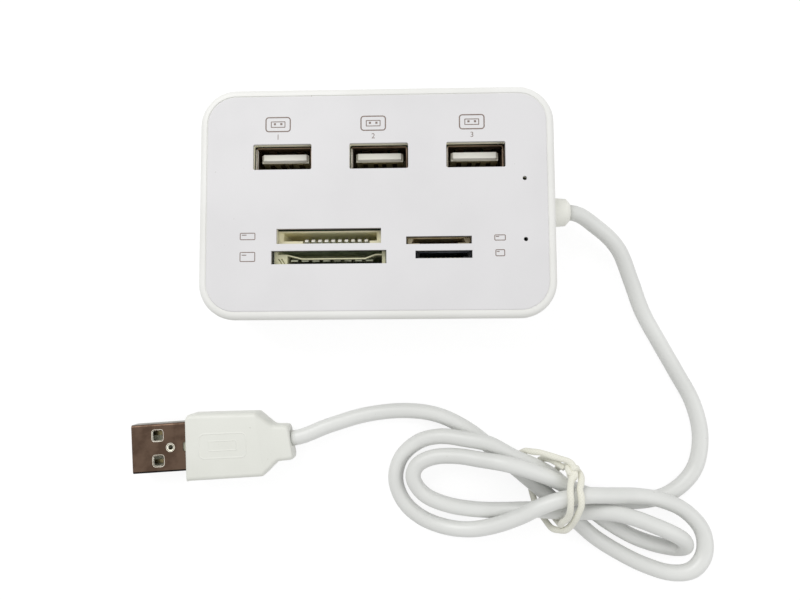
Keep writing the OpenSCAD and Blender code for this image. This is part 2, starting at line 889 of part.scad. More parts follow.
// Latch windows on both sides, then a round hole and a slot through the top
// sheet, and the seam where the sheet's edges meet underneath
module plug_openings() {
    for (sy = [-1, 1])
        translate([6.5, sy * 3.1, -plug_t])
            linear_extrude(2 * plug_t)
                rounded_outline(2.5, 2.5, 0.5);
    translate([9.6, 0, 0])
        cylinder(h = plug_t, d = 1.7);
    translate([13.6, 0, 0])
        linear_extrude(plug_t)
            rounded_outline(1.8, 2.2, 0.4);
    translate([-1, -0.04, -plug_t])
        cube([shell_out + shell_in + 2, 0.08, plug_t]);
}

// Insulator that fills the shell's lower half, with a block behind it
module plug_insulator() {
    inner_w = plug_w - 2 * (plug_sheet + plug_fit);
    inner_t = plug_t - 2 * (plug_sheet + plug_fit);
    bar_t = 1.9;
    block_len = 8;
    color([0.93, 0.93, 0.91])
        on_plug()
            translate([-plug_len - shell_out + 0.8, 0, -inner_t / 2]) {
                translate([0, -inner_w / 2, 0])
                    cube([shell_out + shell_in - 1, inner_w, bar_t]);
                translate([shell_out + shell_in - 1 - block_len, -inner_w / 2, 0])
                    cube([block_len, inner_w, inner_t]);
            }
}

module plug_contacts() {
    inner_t = plug_t - 2 * (plug_sheet + plug_fit);
    strip_t = 0.2;
    color([0.86, 0.7, 0.34])
        on_plug()
            for (y = [-3.5, -1, 1, 3.5])
                translate([-plug_len - shell_out + 1.8, y - 0.5, 1.9 - inner_t / 2])
                    cube([8.6, 1, strip_t]);
}

// The elastic tie's route: a loose tail, then two turns round the bundle
tie_route = [
    [31.5, -64, 1], [32.5, -62.5, 1], [33.5, -61, 2], [34.5, -60, 3.5],
    [35.5, -59, 5.5], [37, -59, 7], [38.5, -59, 8], [40.5, -59.5, 9],
    [42.5, -60, 10], [44.5, -60.5, 11], [45.5, -61.5, 11.5], [45.5, -63, 11.5],
    [45, -64.5, 12], [44.5, -65.5, 13], [44, -67, 14.5], [44, -68.5, 15],
    [44, -70.5, 14.5], [44, -72.5, 13], [43.5, -74, 11.5], [43, -75, 10],
    [43, -76, 8.5], [43, -76, 6], [42.5, -75.5, 4], [42, -74.5, 2.5],
    [42, -73, 1.5], [42, -71, 1], [42, -68.5, 1], [42.5, -66.5, 1],
    [43.5, -65, 1.5], [44, -63.5, 3], [44.5, -63, 5], [45, -62.5, 7],
    [46, -62.5, 8.5], [47, -63, 9.5], [47.5, -64, 11], [47, -65.5, 12.5],
    [46.5, -66.5, 13.5], [46.5, -68, 14.5], [46.5, -70, 14.5], [46, -72, 13.5],
    [45.5, -74, 12], [45, -75.5, 10.5], [44, -77, 9], [43, -77.5, 7.5],
    [41.5, -77.5, 6], [40.5, -76.5, 4.5], [39.5, -75, 3], [38.5, -73.5, 2],
    [38, -71.5, 1.5], [37.5, -69, 1], [37.5, -67, 1], [38, -65, 1.5],
    [38.5, -63, 2.5], [39.5, -61.5, 3.5], [40.5, -61, 5], [41.5, -61, 7],
    [42.5, -61.5, 8.5], [44, -62.5, 9.5]
];

module cord_tie() {
    last = len(tie_route) - 1;
    color([0.82, 0.83, 0.77])
        tube(tie_route, tie_d / 2, unit(tie_route[1] - tie_route[0]),
             unit(tie_route[last] - tie_route[last - 1]));
}

bottom_shell();
top_cover();
main_board();
usb_shell(0);  // usb_shell_1
usb_shell(1);  // usb_shell_2
usb_shell(2);  // usb_shell_3
usb_tongue(0);  // usb_tongue_1
usb_tongue(1);  // usb_tongue_2
usb_tongue(2);  // usb_tongue_3
usb_contacts(0);  // usb_contacts_1
usb_contacts(1);  // usb_contacts_2
usb_contacts(2);  // usb_contacts_3
stick_socket();
stick_contacts();
stick_cover();
card_socket();
card_contacts();
card_cover();
micro_stick_socket();
micro_stick_contacts();
micro_stick_cover();
micro_card_socket();
micro_card_contacts();
micro_card_cover();
hub_chip();
reader_chip();
crystal();
capacitors();
led(0);  // led_1
led(1);  // led_2
housing_screws();
strain_relief();
cable();
cord_tie();
plug_overmould();
plug_shell();
plug_insulator();
plug_contacts();
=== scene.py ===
import json
import math

import bpy
import numpy as np
from mathutils import Matrix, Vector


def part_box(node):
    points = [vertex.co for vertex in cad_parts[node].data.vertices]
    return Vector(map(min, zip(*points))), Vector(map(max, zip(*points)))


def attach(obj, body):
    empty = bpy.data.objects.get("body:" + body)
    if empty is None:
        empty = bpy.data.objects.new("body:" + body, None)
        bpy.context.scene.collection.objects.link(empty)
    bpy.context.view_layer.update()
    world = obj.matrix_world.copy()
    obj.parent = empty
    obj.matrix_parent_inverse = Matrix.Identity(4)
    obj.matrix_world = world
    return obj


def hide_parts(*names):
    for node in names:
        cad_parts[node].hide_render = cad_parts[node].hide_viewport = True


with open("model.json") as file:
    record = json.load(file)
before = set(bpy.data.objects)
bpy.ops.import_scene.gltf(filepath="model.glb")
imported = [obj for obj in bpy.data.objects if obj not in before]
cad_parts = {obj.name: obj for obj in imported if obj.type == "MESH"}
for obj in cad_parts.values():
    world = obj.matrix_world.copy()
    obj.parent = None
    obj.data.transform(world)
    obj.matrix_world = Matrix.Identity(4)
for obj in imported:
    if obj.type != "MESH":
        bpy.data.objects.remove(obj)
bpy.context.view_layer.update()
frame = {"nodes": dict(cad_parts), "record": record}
nodes = frame["nodes"]
scene = bpy.context.scene

# X is to the right, Y to the back and Z up, with the hub's middle over the origin and its foot
# on the floor. Sizes are in millimetres until MM turns them into metres.
MM = 0.001


# ---------------------------------------------------------------- camera

def axes_matrix(right, up, back, place):
    """Placement whose columns are three axes and a position."""
    return Matrix([(right[k], up[k], back[k], place[k]) for k in range(3)] + [(0, 0, 0, 1)])


def photo_camera():
    """Camera straight above the face, a little off centre, as the photograph was taken."""
    data = bpy.data.cameras.new("camera")
    data.sensor_width = 36
    data.lens = 28.26
    data.clip_start = 0.01
    camera = bpy.data.objects.new("camera", data)
    camera.matrix_world = axes_matrix(right=(0.99966864, -0.00654678, -0.02489474),
                                      up=(0.00820051, 0.99772478, 0.06691802),
                                      back=(0.0244, -0.0671, 0.99744786),
                                      place=(0.008784, -0.032269, 0.162352))
    scene.collection.objects.link(camera)
    scene.camera = camera


photo_camera()


# ---------------------------------------------------------------- shapes

def mesh_piece(name, points, faces, uv=None, smooth=True):
    """An object at the origin from points and faces, with uv given per face corner."""
    mesh = bpy.data.meshes.new(name)
    mesh.from_pydata(points.reshape(-1, 3).tolist(), [], faces)
    if uv is not None:
        layer = mesh.uv_layers.new(name="along")
        layer.data.foreach_set("uv", np.asarray(uv, np.float32).ravel())
    if smooth:
        mesh.shade_smooth()
    else:
        mesh.shade_flat()
    piece = bpy.data.objects.new(name, mesh)
    scene.collection.objects.link(piece)
    return piece


def grid_faces(rows, cols, offset=0):
    """Quads of a grid whose columns close on themselves."""
    r, c = np.meshgrid(np.arange(rows - 1), np.arange(cols), indexing="ij")
    d = (c + 1) % cols
    quads = np.stack([r * cols + c, r * cols + d, (r + 1) * cols + d, (r + 1) * cols + c], -1)
    return quads.reshape(-1, 4) + offset


def closed_loft(name, rings):
    """Skin over rings[i, j]: ring i is a closed loop of points, both ends are capped with a fan.
    UV is (share of the way round, metres along the rings' centres)."""
    rows, cols = rings.shape[:2]
    centres = rings.mean(1)
    steps = np.linalg.norm(np.diff(centres, axis=0), axis=1)
    along = np.concatenate([[0], np.cumsum(steps)])
    points = np.concatenate([rings.reshape(-1, 3), centres[:1], centres[-1:]])
    first, last, base = rows * cols, rows * cols + 1, (rows - 1) * cols
    k = np.arange(cols)
    d = (k + 1) % cols
    near = np.stack([np.full(cols, first), d, k], -1)
    far = np.stack([np.full(cols, last), base + k, base + d], -1)
    r, c = np.divmod(np.arange(base), cols)
    u0, u1 = c / cols, (c + 1) / cols
    v0, v1 = along[r], along[r + 1]
    quad_uv = np.stack([u0, v0, u1, v0, u1, v1, u0, v1], -1).reshape(-1, 2)
    cap_uv = np.zeros((6 * cols, 2))
    cap_uv[3 * cols:, 1] = along[-1]
    faces = grid_faces(rows, cols).tolist() + near.tolist() + far.tolist()
    return mesh_piece(name, points, faces, np.concatenate([quad_uv, cap_uv]))


def smooth_path(points, per_span, first=None, last=None):
    """Catmull-Rom curve through the points: each span is the cubic with its ends' directions
    set by the neighbours. first and last are the directions at the two ends, if they are set."""
    p = np.asarray(points, float)
    before, after = 2 * p[0] - p[1], 2 * p[-1] - p[-2]
    if first is not None:
        before = p[1] - 2 * np.linalg.norm(p[1] - p[0]) * np.array(first)
    if last is not None:
        after = p[-2] + 2 * np.linalg.norm(p[-1] - p[-2]) * np.array(last)
    q = np.vstack([before, p, after])
    t = (np.arange(per_span) / per_span)[None, :, None]
    a, b, c, d = q[:-3, None], q[1:-2, None], q[2:-1, None], q[3:, None]
    curve = 0.5 * (2 * b + (c - a) * t + (2 * a - 5 * b + 4 * c - d) * t ** 2
                   + (3 * b - a - 3 * c + d) * t ** 3)
    return np.vstack([curve.reshape(-1, 3), p[-1:]])


def carried_frames(path):
    """Unit directions along a path and two unit normals that turn as little as they can from
    ring to ring: the last normal is made square to the new direction at each step."""
    along = np.gradient(path, axis=0)
    along /= np.linalg.norm(along, axis=1)[:, None]
    side = np.zeros_like(along)
    lead = np.cross(along[0], (0, 0, 1))
    for i, direction in enumerate(along):
        lead = lead - direction * lead.dot(direction)
        lead = lead / np.linalg.norm(lead)
        side[i] = lead
    return along, side, np.cross(side, along)


def swept_tube(name, path, radius, sides):
    """Round tube: ring i is path[i] + radius[i] * (cos(a) * side[i] - sin(a) * over[i])."""
    _, side, over = carried_frames(path)
    a = np.linspace(0, 2 * np.pi, sides, endpoint=False)[None, :, None]
    radius = np.broadcast_to(radius, (len(path),))[:, None, None]
    rings = path[:, None] + radius * (np.cos(a) * side[:, None] - np.sin(a) * over[:, None])
    return closed_loft(name, rings)


# ---------------------------------------------------------------- the lead and its tie

LEAD_ROUTE = np.array([
    [46.3, -1, 10], [54, -4.5, 7.5], [59.5, -9.5, 5.5], [63, -17, 3.5],
    [66, -25, 2.5], [70, -32.5, 2], [74, -40, 2], [78, -48, 2],
    [79.5, -56.5, 2], [77.5, -64.5, 2], [71.5, -70, 2], [63.5, -72, 2],
    [55, -71, 3.5], [48, -68.5, 7], [41, -65, 9.5], [35, -62.5, 11.5],
    [29.5, -61, 11.5], [24, -60.5, 9], [18.5, -60, 7], [13, -60.5, 5.5],
    [9, -62.5, 5], [8, -66, 5], [11, -70, 4.5], [17, -72.5, 4],
    [24, -73.5, 4], [30.5, -73.5, 4.5], [36.5, -73, 6], [42, -73, 7.5],
    [47.5, -73, 8], [54, -73, 8.5], [59.5, -74, 9], [65, -76, 9],
    [69.5, -78, 8.5], [72.5, -80, 7], [73.5, -82, 5], [72.5, -83, 3],
    [70, -83, 2], [66, -82, 2], [61, -80, 2], [54.5, -76, 2],
    [48, -70.5, 2.5], [42.5, -65.5, 4.5], [37.5, -62.5, 6.5], [32, -60, 7.5],
    [26.5, -57, 8], [21, -56, 7], [15, -55.5, 5], [9.5, -57, 3],
    [5, -61, 2], [3.5, -66.5, 2], [5.5, -72, 2], [10, -76, 2],
    [16, -78, 3], [22, -78, 5], [27.5, -76.5, 7], [33, -74, 9],
    [38, -71, 11], [43.5, -69, 12], [49, -68.5, 11], [55, -69, 9],
    [61, -69.5, 7], [67, -70.5, 6], [73, -73, 6], [77, -77.5, 6.5],
    [77.5, -83, 6.5], [74.5, -87, 6.5], [69.5, -88, 5.5], [63.5, -86.5, 4],
    [58, -84, 2.5], [52.5, -80.5, 2.5], [47.5, -76, 3.5], [41.5, -70.5, 4],
    [35, -65, 4], [28.5, -59.5, 4], [21.5, -54, 3.5], [14, -50.5, 2.5],
    [5.5, -49.5, 2], [-4, -50.5, 2], [-13, -53, 3], [-22.3, -56, 4],
]) * MM
TIE_ROUTE = np.array([
    [31.5, -64, 1], [32.5, -62.5, 1], [33.5, -61, 2], [34.5, -60, 3.5],
    [35.5, -59, 5.5], [37, -59, 7], [38.5, -59, 8], [40.5, -59.5, 9],
    [42.5, -60, 10], [44.5, -60.5, 11], [45.5, -61.5, 11.5], [45.5, -63, 11.5],
    [45, -64.5, 12], [44.5, -65.5, 13], [44, -67, 14.5], [44, -68.5, 15],
    [44, -70.5, 14.5], [44, -72.5, 13], [43.5, -74, 11.5], [43, -75, 10],
    [43, -76, 8.5], [43, -76, 6], [42.5, -75.5, 4], [42, -74.5, 2.5],
    [42, -73, 1.5], [42, -71, 1], [42, -68.5, 1], [42.5, -66.5, 1],
    [43.5, -65, 1.5], [44, -63.5, 3], [44.5, -63, 5], [45, -62.5, 7],
    [46, -62.5, 8.5], [47, -63, 9.5], [47.5, -64, 11], [47, -65.5, 12.5],
    [46.5, -66.5, 13.5], [46.5, -68, 14.5], [46.5, -70, 14.5], [46, -72, 13.5],
    [45.5, -74, 12], [45, -75.5, 10.5], [44, -77, 9], [43, -77.5, 7.5],
    [41.5, -77.5, 6], [40.5, -76.5, 4.5], [39.5, -75, 3], [38.5, -73.5, 2],
    [38, -71.5, 1.5], [37.5, -69, 1], [37.5, -67, 1], [38, -65, 1.5],
    [38.5, -63, 2.5], [39.5, -61.5, 3.5], [40.5, -61, 5], [41.5, -61, 7],
    [42.5, -61.5, 8.5], [44, -62.5, 9.5],
]) * MM
CORD_D = 3.8 * MM
TIE_R = 0.75
KNOT_R = 0.66
KNOT_AT = np.array([45.4, -62.9, 11.2])
PLUG_AT = LEAD_ROUTE[-1]
PLUG_TURN = math.radians(3.6)
PLUG_AXIS = (-math.cos(PLUG_TURN), -math.sin(PLUG_TURN), 0)

lead_path = smooth_path(LEAD_ROUTE, per_span=6, first=(1, 0, 0), last=PLUG_AXIS)


def tie_strand():
    """The tie's strand: at ring i its radius is TIE_R + 0.03 (sin 0.55 i + 0.6 sin(0.21 i + 1)),
    so that it swells and narrows by a few per cent."""
    path = smooth_path(TIE_ROUTE, per_span=5)
    i = np.arange(len(path))
    wave = np.sin(i * 0.55) + 0.6 * np.sin(i * 0.21 + 1)
    return swept_tube("tie_elastic", path, (TIE_R + 0.03 * wave) * MM, sides=16)


def tie_knot():
    """Overhand lump: a strand carried round a small trefoil, x = sin a + 2 sin 2a,
    y = cos a - 2 cos 2a, z = -sin 3a, flattened on to the bundle."""
    width, length, depth = 0.42, 0.5, 0.75
    a = np.linspace(0, 2 * np.pi, 61)[:-1]
    x = (np.sin(a) + 2 * np.sin(2 * a)) * width
    y = (np.cos(a) - 2 * np.cos(2 * a)) * length
    z = -np.sin(3 * a) * depth
    loop = np.stack([x, y, z], -1) * MM + KNOT_AT * MM
    loop = np.vstack([loop, loop[:1] + (loop[1] - loop[0]) * 0.2])
    return swept_tube("tie_knot", loop, KNOT_R * MM, sides=14)


cable = swept_tube("lead_jacket", lead_path, CORD_D / 2, sides=24)
elastic = tie_strand()
knot = tie_knot()


# ---------------------------------------------------------------- the plug

PER_CORNER = 8
RING = 4 * PER_CORNER
GRIP_LENGTH = 25.6
GRIP_ASKEW = math.radians(-1.2)
GRIP_LEAN = 0.13
GRIP_SHIFT = 0.2
GRIP_TOP = 4
GRIP_MARK_X = -16.4
PLUG_TIP_X = -39.5
PLUG_SHEET_TOP = 2.262


def rounded_ring(half_w, half_h, r, per_corner=PER_CORNER):
    """Rounded rectangle in the (across, up) plane: corner centres plus r times (cos, sin)."""
    quarter = np.linspace(0, np.pi / 2, per_corner)
    a = np.concatenate([quarter + k * np.pi / 2 for k in range(4)])
    sx = np.repeat([1, -1, -1, 1], per_corner)
    sy = np.repeat([1, 1, -1, -1], per_corner)
    return np.stack([sx * (half_w - r) + r * np.cos(a), sy * (half_h - r) + r * np.sin(a)], -1)


def inset_ring(w, h, r, inset=0):
    """Rounded rectangle from its full width and height, drawn in all round by an inset."""
    return rounded_ring(w / 2 - inset, h / 2 - inset, max(r - inset, 0.02))


def level_rings(outlines):
    """Open strips that lie on a face. Each outline (x, y, w, h, r, levels) is carried through
    its levels (inset, height). Returns the points, in metres, and the faces."""
    points, faces = [], []
    for x, y, w, h, r, levels in outlines:
        faces.append(grid_faces(len(levels), RING, len(points) * RING))
        for inset, height in levels:
            ring = inset_ring(w, h, r, inset)
            points.append(np.column_stack([ring + (x, y), np.full(RING, height)]))
    return np.array(points) * MM, np.concatenate(faces).tolist()


def turned(points, angle):
    """Turns points about Z: x cos - y sin, x sin + y cos."""
    c, s = math.cos(angle), math.sin(angle)
    x, y, z = points[..., 0], points[..., 1], points[..., 2]
    return np.stack([x * c - y * s, x * s + y * c, z], -1)


def on_plug(points):
    """Turns points about Z by the plug's turn and moves them to the plug's neck."""
    return turned(points, PLUG_TURN) + PLUG_AT


def on_grip(points):
    """The grip sits a little askew on its shell: it is turned about its own mouth first."""
    mouth = np.array([-GRIP_LENGTH, 0, 0]) * MM
    return on_plug(turned(points - mouth, GRIP_ASKEW) + mouth)


def plug_grip():
    """Moulded grip lofted along the plug: each station (along, half width, half thickness,
    corner radius) is a rounded rectangle; the shoulder is drawn in as a hollow curve. One
    corner at the mouth is worn rounder and the other is sharp: their widths shrink and grow by
    the square of the way to the end. Towards the neck the stations lean by GRIP_LEAN of the
    width."""
    stations = np.array([
        [-25.6, 7.5, 3.35, 0.9], [-25.57, 7.8, 3.7, 1.0], [-25.4, 8, 3.9, 1.1],
        [-25.1, 8.07, 3.98, 1.2], [-24.4, 8.08, 4.0, 1.2], [-20, 8.02, 4.0, 1.2],
        [-15, 7.93, 4.0, 1.2], [-8.4, 7.8, 4.0, 1.2], [-7.8, 7.76, 4.0, 1.2],
        [-7.5, 7.66, 3.98, 1.2], [-7.15, 7.36, 3.86, 1.2], [-6.3, 6.62, 3.66, 1.2],
        [-5.4, 5.82, 3.44, 1.2], [-4.6, 5.12, 3.22, 1.2], [-4.15, 4.76, 3.12, 1.2],
        [-3.85, 4.57, 3.07, 1.2], [-3.45, 4.46, 3.03, 1.2], [-2.9, 4.4, 3.0, 1.2],
        [-1.2, 4.32, 2.98, 1.2], [-0.6, 4.25, 2.95, 1.2], [-0.22, 4.1, 2.85, 1.1],
        [-0.04, 3.8, 2.6, 1.0], [0, 3.2, 2.2, 0.9],
    ])
    rings = np.array([rounded_ring(w, h, r) for _, w, h, r in stations]) * MM
    along = np.broadcast_to(stations[:, :1] * MM, rings.shape[:2])
    worn = 0.09 * np.clip((-24.5 * MM - along) / (1.1 * MM), 0, 1) ** 2
    sharp = 0.065 * np.clip((-25.1 * MM - along) / (0.5 * MM), 0, 1) ** 2
    across, up = rings[..., 0], rings[..., 1]
    across = -across * np.where(across < 0, 1 - worn, 1 + sharp) - GRIP_SHIFT * MM
    along = along - GRIP_LEAN * across * (1 + along / (GRIP_LENGTH * MM))
    return closed_loft("plug_grip", on_grip(np.stack([along, across, up], -1))[:, ::-1])


def grip_mark():
    """Raised outline of a plug's face on the grip: each ring is carried through four levels,
    foot, brow, brow and foot, so that its edges slope."""
    slope, lift, sunk = 0.12, 0.07, 0.02
    foot, brow = GRIP_TOP - sunk, GRIP_TOP + lift
    outlines = []
    for w, h, r, line in ((12, 6.4, 1.5, 0.5), (7.2, 2.7, 0.4, 0.4)):
        levels = ((0, foot), (slope, brow), (line - slope, brow), (line, foot))
        outlines.append((GRIP_MARK_X, 0, w, h, r, levels))
    points, faces = level_rings(outlines)
    return mesh_piece("grip_mark", on_grip(points), faces)


def window_rims():
    """Rolled edges of the plug's two windows and its round hole, a painted highlight: rings that
    start on the sheet and turn down into the opening through five levels of a quarter circle."""
    outside, drop = 0.26, 0.24
    outlines = []
    for x, y, size, r, reach in ((6.5, 3.1, 2.5, 0.5, 0.35), (6.5, -3.1, 2.5, 0.5, 0.35),
                                 (9.6, 0, 1.7, 0.85, 0.52)):
        levels = [(-outside + reach * np.sin(a), PLUG_SHEET_TOP - drop * (1 - np.cos(a)))
                  for a in np.linspace(0, np.pi / 2, 5)]
        outlines.append((PLUG_TIP_X + x, y, size, size, r, levels))
    points, faces = level_rings(outlines)
    return mesh_piece("window_rims", on_plug(points), faces)


grip = plug_grip()
raised = grip_mark()
rims = window_rims()


# ---------------------------------------------------------------- the sockets' metal

def card_springs():
    """Ten upright springs of the upper wide socket. A centre line in the (across, up) plane,
    straight and then bent out in a knee, is thickened by half the strip's thickness along its
    normal and carried across the spring's width, drawn in by 0.05 mm at both edges."""
    count, node_width, forward, raise_by = 10, 0.75, 0.82, 0.35
    sections = ((-0.4, 0.08), (-0.35, 0.13), (0.35, 0.13), (0.4, 0.08))
    low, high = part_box("stick_contacts")
    line = np.array([[0, -7], [0, -3.6], [0.15, -2.8], [0.45, -1.9], [0.7, -1.2], [0.8, -0.75],
                     [0.74, -0.4], [0.5, -0.15], [0.2, -0.02]])
    run = np.gradient(line, axis=0)
    normal = np.stack([run[:, 1], -run[:, 0]], -1) / np.linalg.norm(run, axis=1)[:, None]
    around = 2 * len(line)
    j = np.arange(len(line) - 1)
    near = np.stack([around - 1 - j, around - 2 - j, j + 1, j], -1)
    far = near[:, ::-1] + (len(sections) - 1) * around
    pitch = (high[0] - low[0] - node_width * MM) / MM / (count - 1)
    points, faces = [], []
    for k in range(count):
        base = k * len(sections) * around
        faces += [grid_faces(len(sections), around, base), near + base, far + base]
        middle = low[0] / MM + node_width / 2 + k * pitch
        for x, half in sections:
            outline = np.vstack([line + normal * half, (line - normal * half)[::-1]])
            points.append(np.column_stack([np.full(around, middle + x),
                                           outline[:, 0] + low[1] / MM + forward,
                                           outline[:, 1] + high[2] / MM + raise_by]))
    points = np.concatenate(points) * MM
    return mesh_piece("card_springs", points, np.concatenate(faces).tolist(), smooth=False)


def port_edges():
    """Painted highlight on one wall of each upright socket's shell: a quarter circle from the cut
    edge into the mouth, then a straight run down, drawn out along the wall."""
    start, reach, above, drop, foot = 0.04, 0.3, 0.02, 0.22, 0.8
    short_in_front, short_behind = 0.35, 0.45
    points, faces = [], []
    a = np.linspace(0, np.pi / 2, 5)
    for k in range(3):
        low, high = (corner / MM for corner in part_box("usb_shell_%d" % (k + 1)))
        x = np.append(low[0] + start + reach * np.sin(a), low[0] + start + reach)
        z = np.append(high[2] + above - drop * (1 - np.cos(a)), high[2] - foot)
        for y in (low[1] + short_in_front, high[1] - short_behind):
            points.append(np.column_stack([x, np.full(len(x), y), z]))
        j = np.arange(len(x) - 1) + 2 * len(x) * k
        faces.append(np.stack([j + 1, j + len(x) + 1, j + len(x), j], -1))
    return mesh_piece("port_edges", np.concatenate(points) * MM, np.concatenate(faces).tolist())


springs = card_springs()
# Painted highlight strips on the upright sockets' shells.
edges = port_edges()


# ---------------------------------------------------------------- printing and the lip

FACE_Z = 20.012
LIP_Z = 19.84
SIZE_PER_HEIGHT = 1.35


def ribbon(name, loops, level=FACE_Z):
    """Flat print from pairs of loops: the surface between an outer and an inner closed line."""
    points, faces, offset = [], [], 0
    for outer, inner in loops:
        n = len(outer)
        points += [outer, inner]
        k = np.arange(n)
        d = (k + 1) % n
        faces.append(np.stack([k, d, d + n, k + n], -1) + offset)
        offset += 2 * n
    flat = np.concatenate(points)
    solid = np.column_stack([flat, np.full(len(flat), level)]) * MM
    return mesh_piece(name, solid, np.concatenate(faces).tolist(), smooth=False)


def frame_mark(cx, cy, w, h, r, line):
    """Outline of a rounded rectangle with a drawn line of that width."""
    return inset_ring(w, h, r) + (cx, cy), inset_ring(w, h, r, line) + (cx, cy)


def filled_mark(cx, cy, w, h, r):
    """Rounded rectangle filled to its middle."""
    outer = inset_ring(w, h, r) + (cx, cy)
    return outer, outer * 0 + (cx, cy)


def numeral(text, cx, cy, height):
    """A plain figure as flat print, its middle at the given place."""
    curve = bpy.data.curves.new("numeral_" + text, "FONT")
    curve.body = text
    curve.size = height * SIZE_PER_HEIGHT * MM
    curve.align_x = "CENTER"
    curve.align_y = "CENTER"
    temp = bpy.data.objects.new("numeral_temp", curve)
    scene.collection.objects.link(temp)
    bpy.context.view_layer.update()
    seen = temp.evaluated_get(bpy.context.evaluated_depsgraph_get())
    mesh = bpy.data.meshes.new_from_object(seen)
    bpy.data.objects.remove(temp)
    mesh.transform(Matrix.Translation((cx * MM, cy * MM, FACE_Z * MM)))
    piece = bpy.data.objects.new("print_numeral_" + text, mesh)
    scene.collection.objects.link(piece)
    return piece


def parting_line():
    """Lip that closes the gap round the face panel, a sixth of a millimetre under the face: a
    flat ring between a rounded rectangle just outside the gap and one just inside it."""
    outer = rounded_ring(39.55, 25.35, 6.85, 24)
    inner = rounded_ring(39.22, 25.02, 6.52, 24)
    return ribbon("parting_line", [(outer, inner)], LIP_Z)


def socket_prints():
    """Over each upright socket: a plug's face in a frame, and under it the socket's number."""
    pieces = []
    y = 18.45
    for k, x in enumerate((-22.8, -0.65, 22.15), 1):
        marks = [frame_mark(x, y, 5.95, 3.6, 0.8, 0.28), frame_mark(x, y, 3.4, 1.5, 0.15, 0.2)]
        for side in (-0.75, 0.75):
            marks.append(filled_mark(x + side, y + 0.1, 0.5, 0.5, 0.05))
        pieces += [ribbon("print_socket_%d" % k, marks), numeral(str(k), x, 15.4, 1.3)]
    return pieces


def card_prints():
    """Beside each card slot: the outline of a card with a bar for its label."""
    marks = []
    for x, y, w, h in ((-29.7, -7.75, 3.6, 1.7), (-29.7, -12.5, 3.6, 2.3),
                       (28.2, -8.6, 2.6, 1.4), (28.2, -12.1, 2.2, 1.6)):
        marks += [frame_mark(x, y, w, h, 0.3, 0.2),
                  filled_mark(x - w * 0.22, y + h * 0.18, w * 0.3, 0.2, 0.04)]
    return ribbon("print_cards", marks)


lip = parting_line()
printing = socket_prints() + [card_prints()]


# ---------------------------------------------------------------- shader nodes

def linear(*rgb):
    """Screen colour 0-255 to linear: c / 12.92 below 0.04045, else ((c + 0.055) / 1.055) ^ 2.4."""
    c = np.array(rgb, float) / 255
    return tuple(np.where(c <= 0.04045, c / 12.92, ((c + 0.055) / 1.055) ** 2.4)) + (1.0,)


def feed(tree, value, socket):
    """Gives a socket its value: a link if the value is a socket too, else the value itself."""
    if hasattr(value, "is_output"):
        tree.links.new(value, socket)
    else:
        socket.default_value = value


def put(tree, kind, sockets=None, **settings):
    """Adds a node, sets its own settings by name, and feeds its inputs by label or number."""
    node = tree.nodes.new(kind)
    for key, value in settings.items():
        setattr(node, key, value)
    for key, value in (sockets or {}).items():
        feed(tree, value, node.inputs[key])
    return node


def math_node(tree, operation, *values, clamp=False):
    """One Math node. The values are numbers or sockets."""
    sockets = dict(enumerate(values))
    return put(tree, "ShaderNodeMath", sockets, operation=operation, use_clamp=clamp).outputs[0]


def mix_colours(tree, factor, a, b):
    """Mixes two colours, sockets or values, by a factor socket."""
    return put(tree, "ShaderNodeMix", {"Factor": factor, 6: a, 7: b}, data_type="RGBA").outputs[2]


def span(tree, value, low, high, to_low=0.0, to_high=1.0):
    """Maps a value from one range on to another, smoothly and held at the ends."""
    sockets = dict(enumerate((value, low, high, to_low, to_high)))
    return put(tree, "ShaderNodeMapRange", sockets, interpolation_type="SMOOTHSTEP").outputs[0]


def noise(tree, place, scale, detail):
    """A noise texture's value at a place."""
    sockets = {"Vector": place, "Scale": scale, "Detail": detail}
    return put(tree, "ShaderNodeTexNoise", sockets).outputs[0]


def axes_of(tree, vector):
    """The x, y and z of a vector socket."""
    return put(tree, "ShaderNodeSeparateXYZ", {0: vector}).outputs


# ---------------------------------------------------------------- materials

VECTOR, COLOUR, NUMBER = "NodeSocketVector", "NodeSocketColor", "NodeSocketFloat"


def new_group(name, inputs):
    """Shader group that gives a Colour, a Roughness and a Height. Returns the group with its
    input and output nodes."""
    group = bpy.data.node_groups.new(name, "ShaderNodeTree")
    for label, kind in inputs:
        group.interface.new_socket(label, in_out="INPUT", socket_type=kind)
    for label, kind in (("Colour", COLOUR), ("Roughness", NUMBER), ("Height", NUMBER)):
        group.interface.new_socket(label, in_out="OUTPUT", socket_type=kind)
    return group, group.nodes.new("NodeGroupInput"), group.nodes.new("NodeGroupOutput")


def moulded_skin_group():
    """Moulded plastic: a fine pebble grain, slow clouding of the tone and rare dark specks."""
    group, source, sink = new_group("moulded_skin", (
        ("Vector", VECTOR), ("Tone", COLOUR), ("Cloud", COLOUR), ("Speck", COLOUR),
        ("Grain", NUMBER), ("Shine", NUMBER)))
    given = source.outputs
    pebble = put(group, "ShaderNodeTexVoronoi",
                 {"Vector": given["Vector"], "Scale": given["Grain"]}, feature="SMOOTH_F1")
    slow = noise(group, given["Vector"], 45.0, 3.0)
    fine = noise(group, given["Vector"], 900.0, 2.0)
    colour = mix_colours(group, span(group, slow, 0.35, 0.7), given["Tone"], given["Cloud"])
    colour = mix_colours(group, span(group, fine, 0.76, 0.8), colour, given["Speck"])
    worn = math_node(group, "MULTIPLY", math_node(group, "SUBTRACT", slow, 0.5), 0.25)
    feed(group, colour, sink.inputs["Colour"])
    feed(group, math_node(group, "ADD", given["Shine"], worn, clamp=True), sink.inputs["Roughness"])
    feed(group, math_node(group, "ADD", pebble.outputs["Distance"],
                          math_node(group, "MULTIPLY", fine, 0.6)), sink.inputs["Height"])
    return group


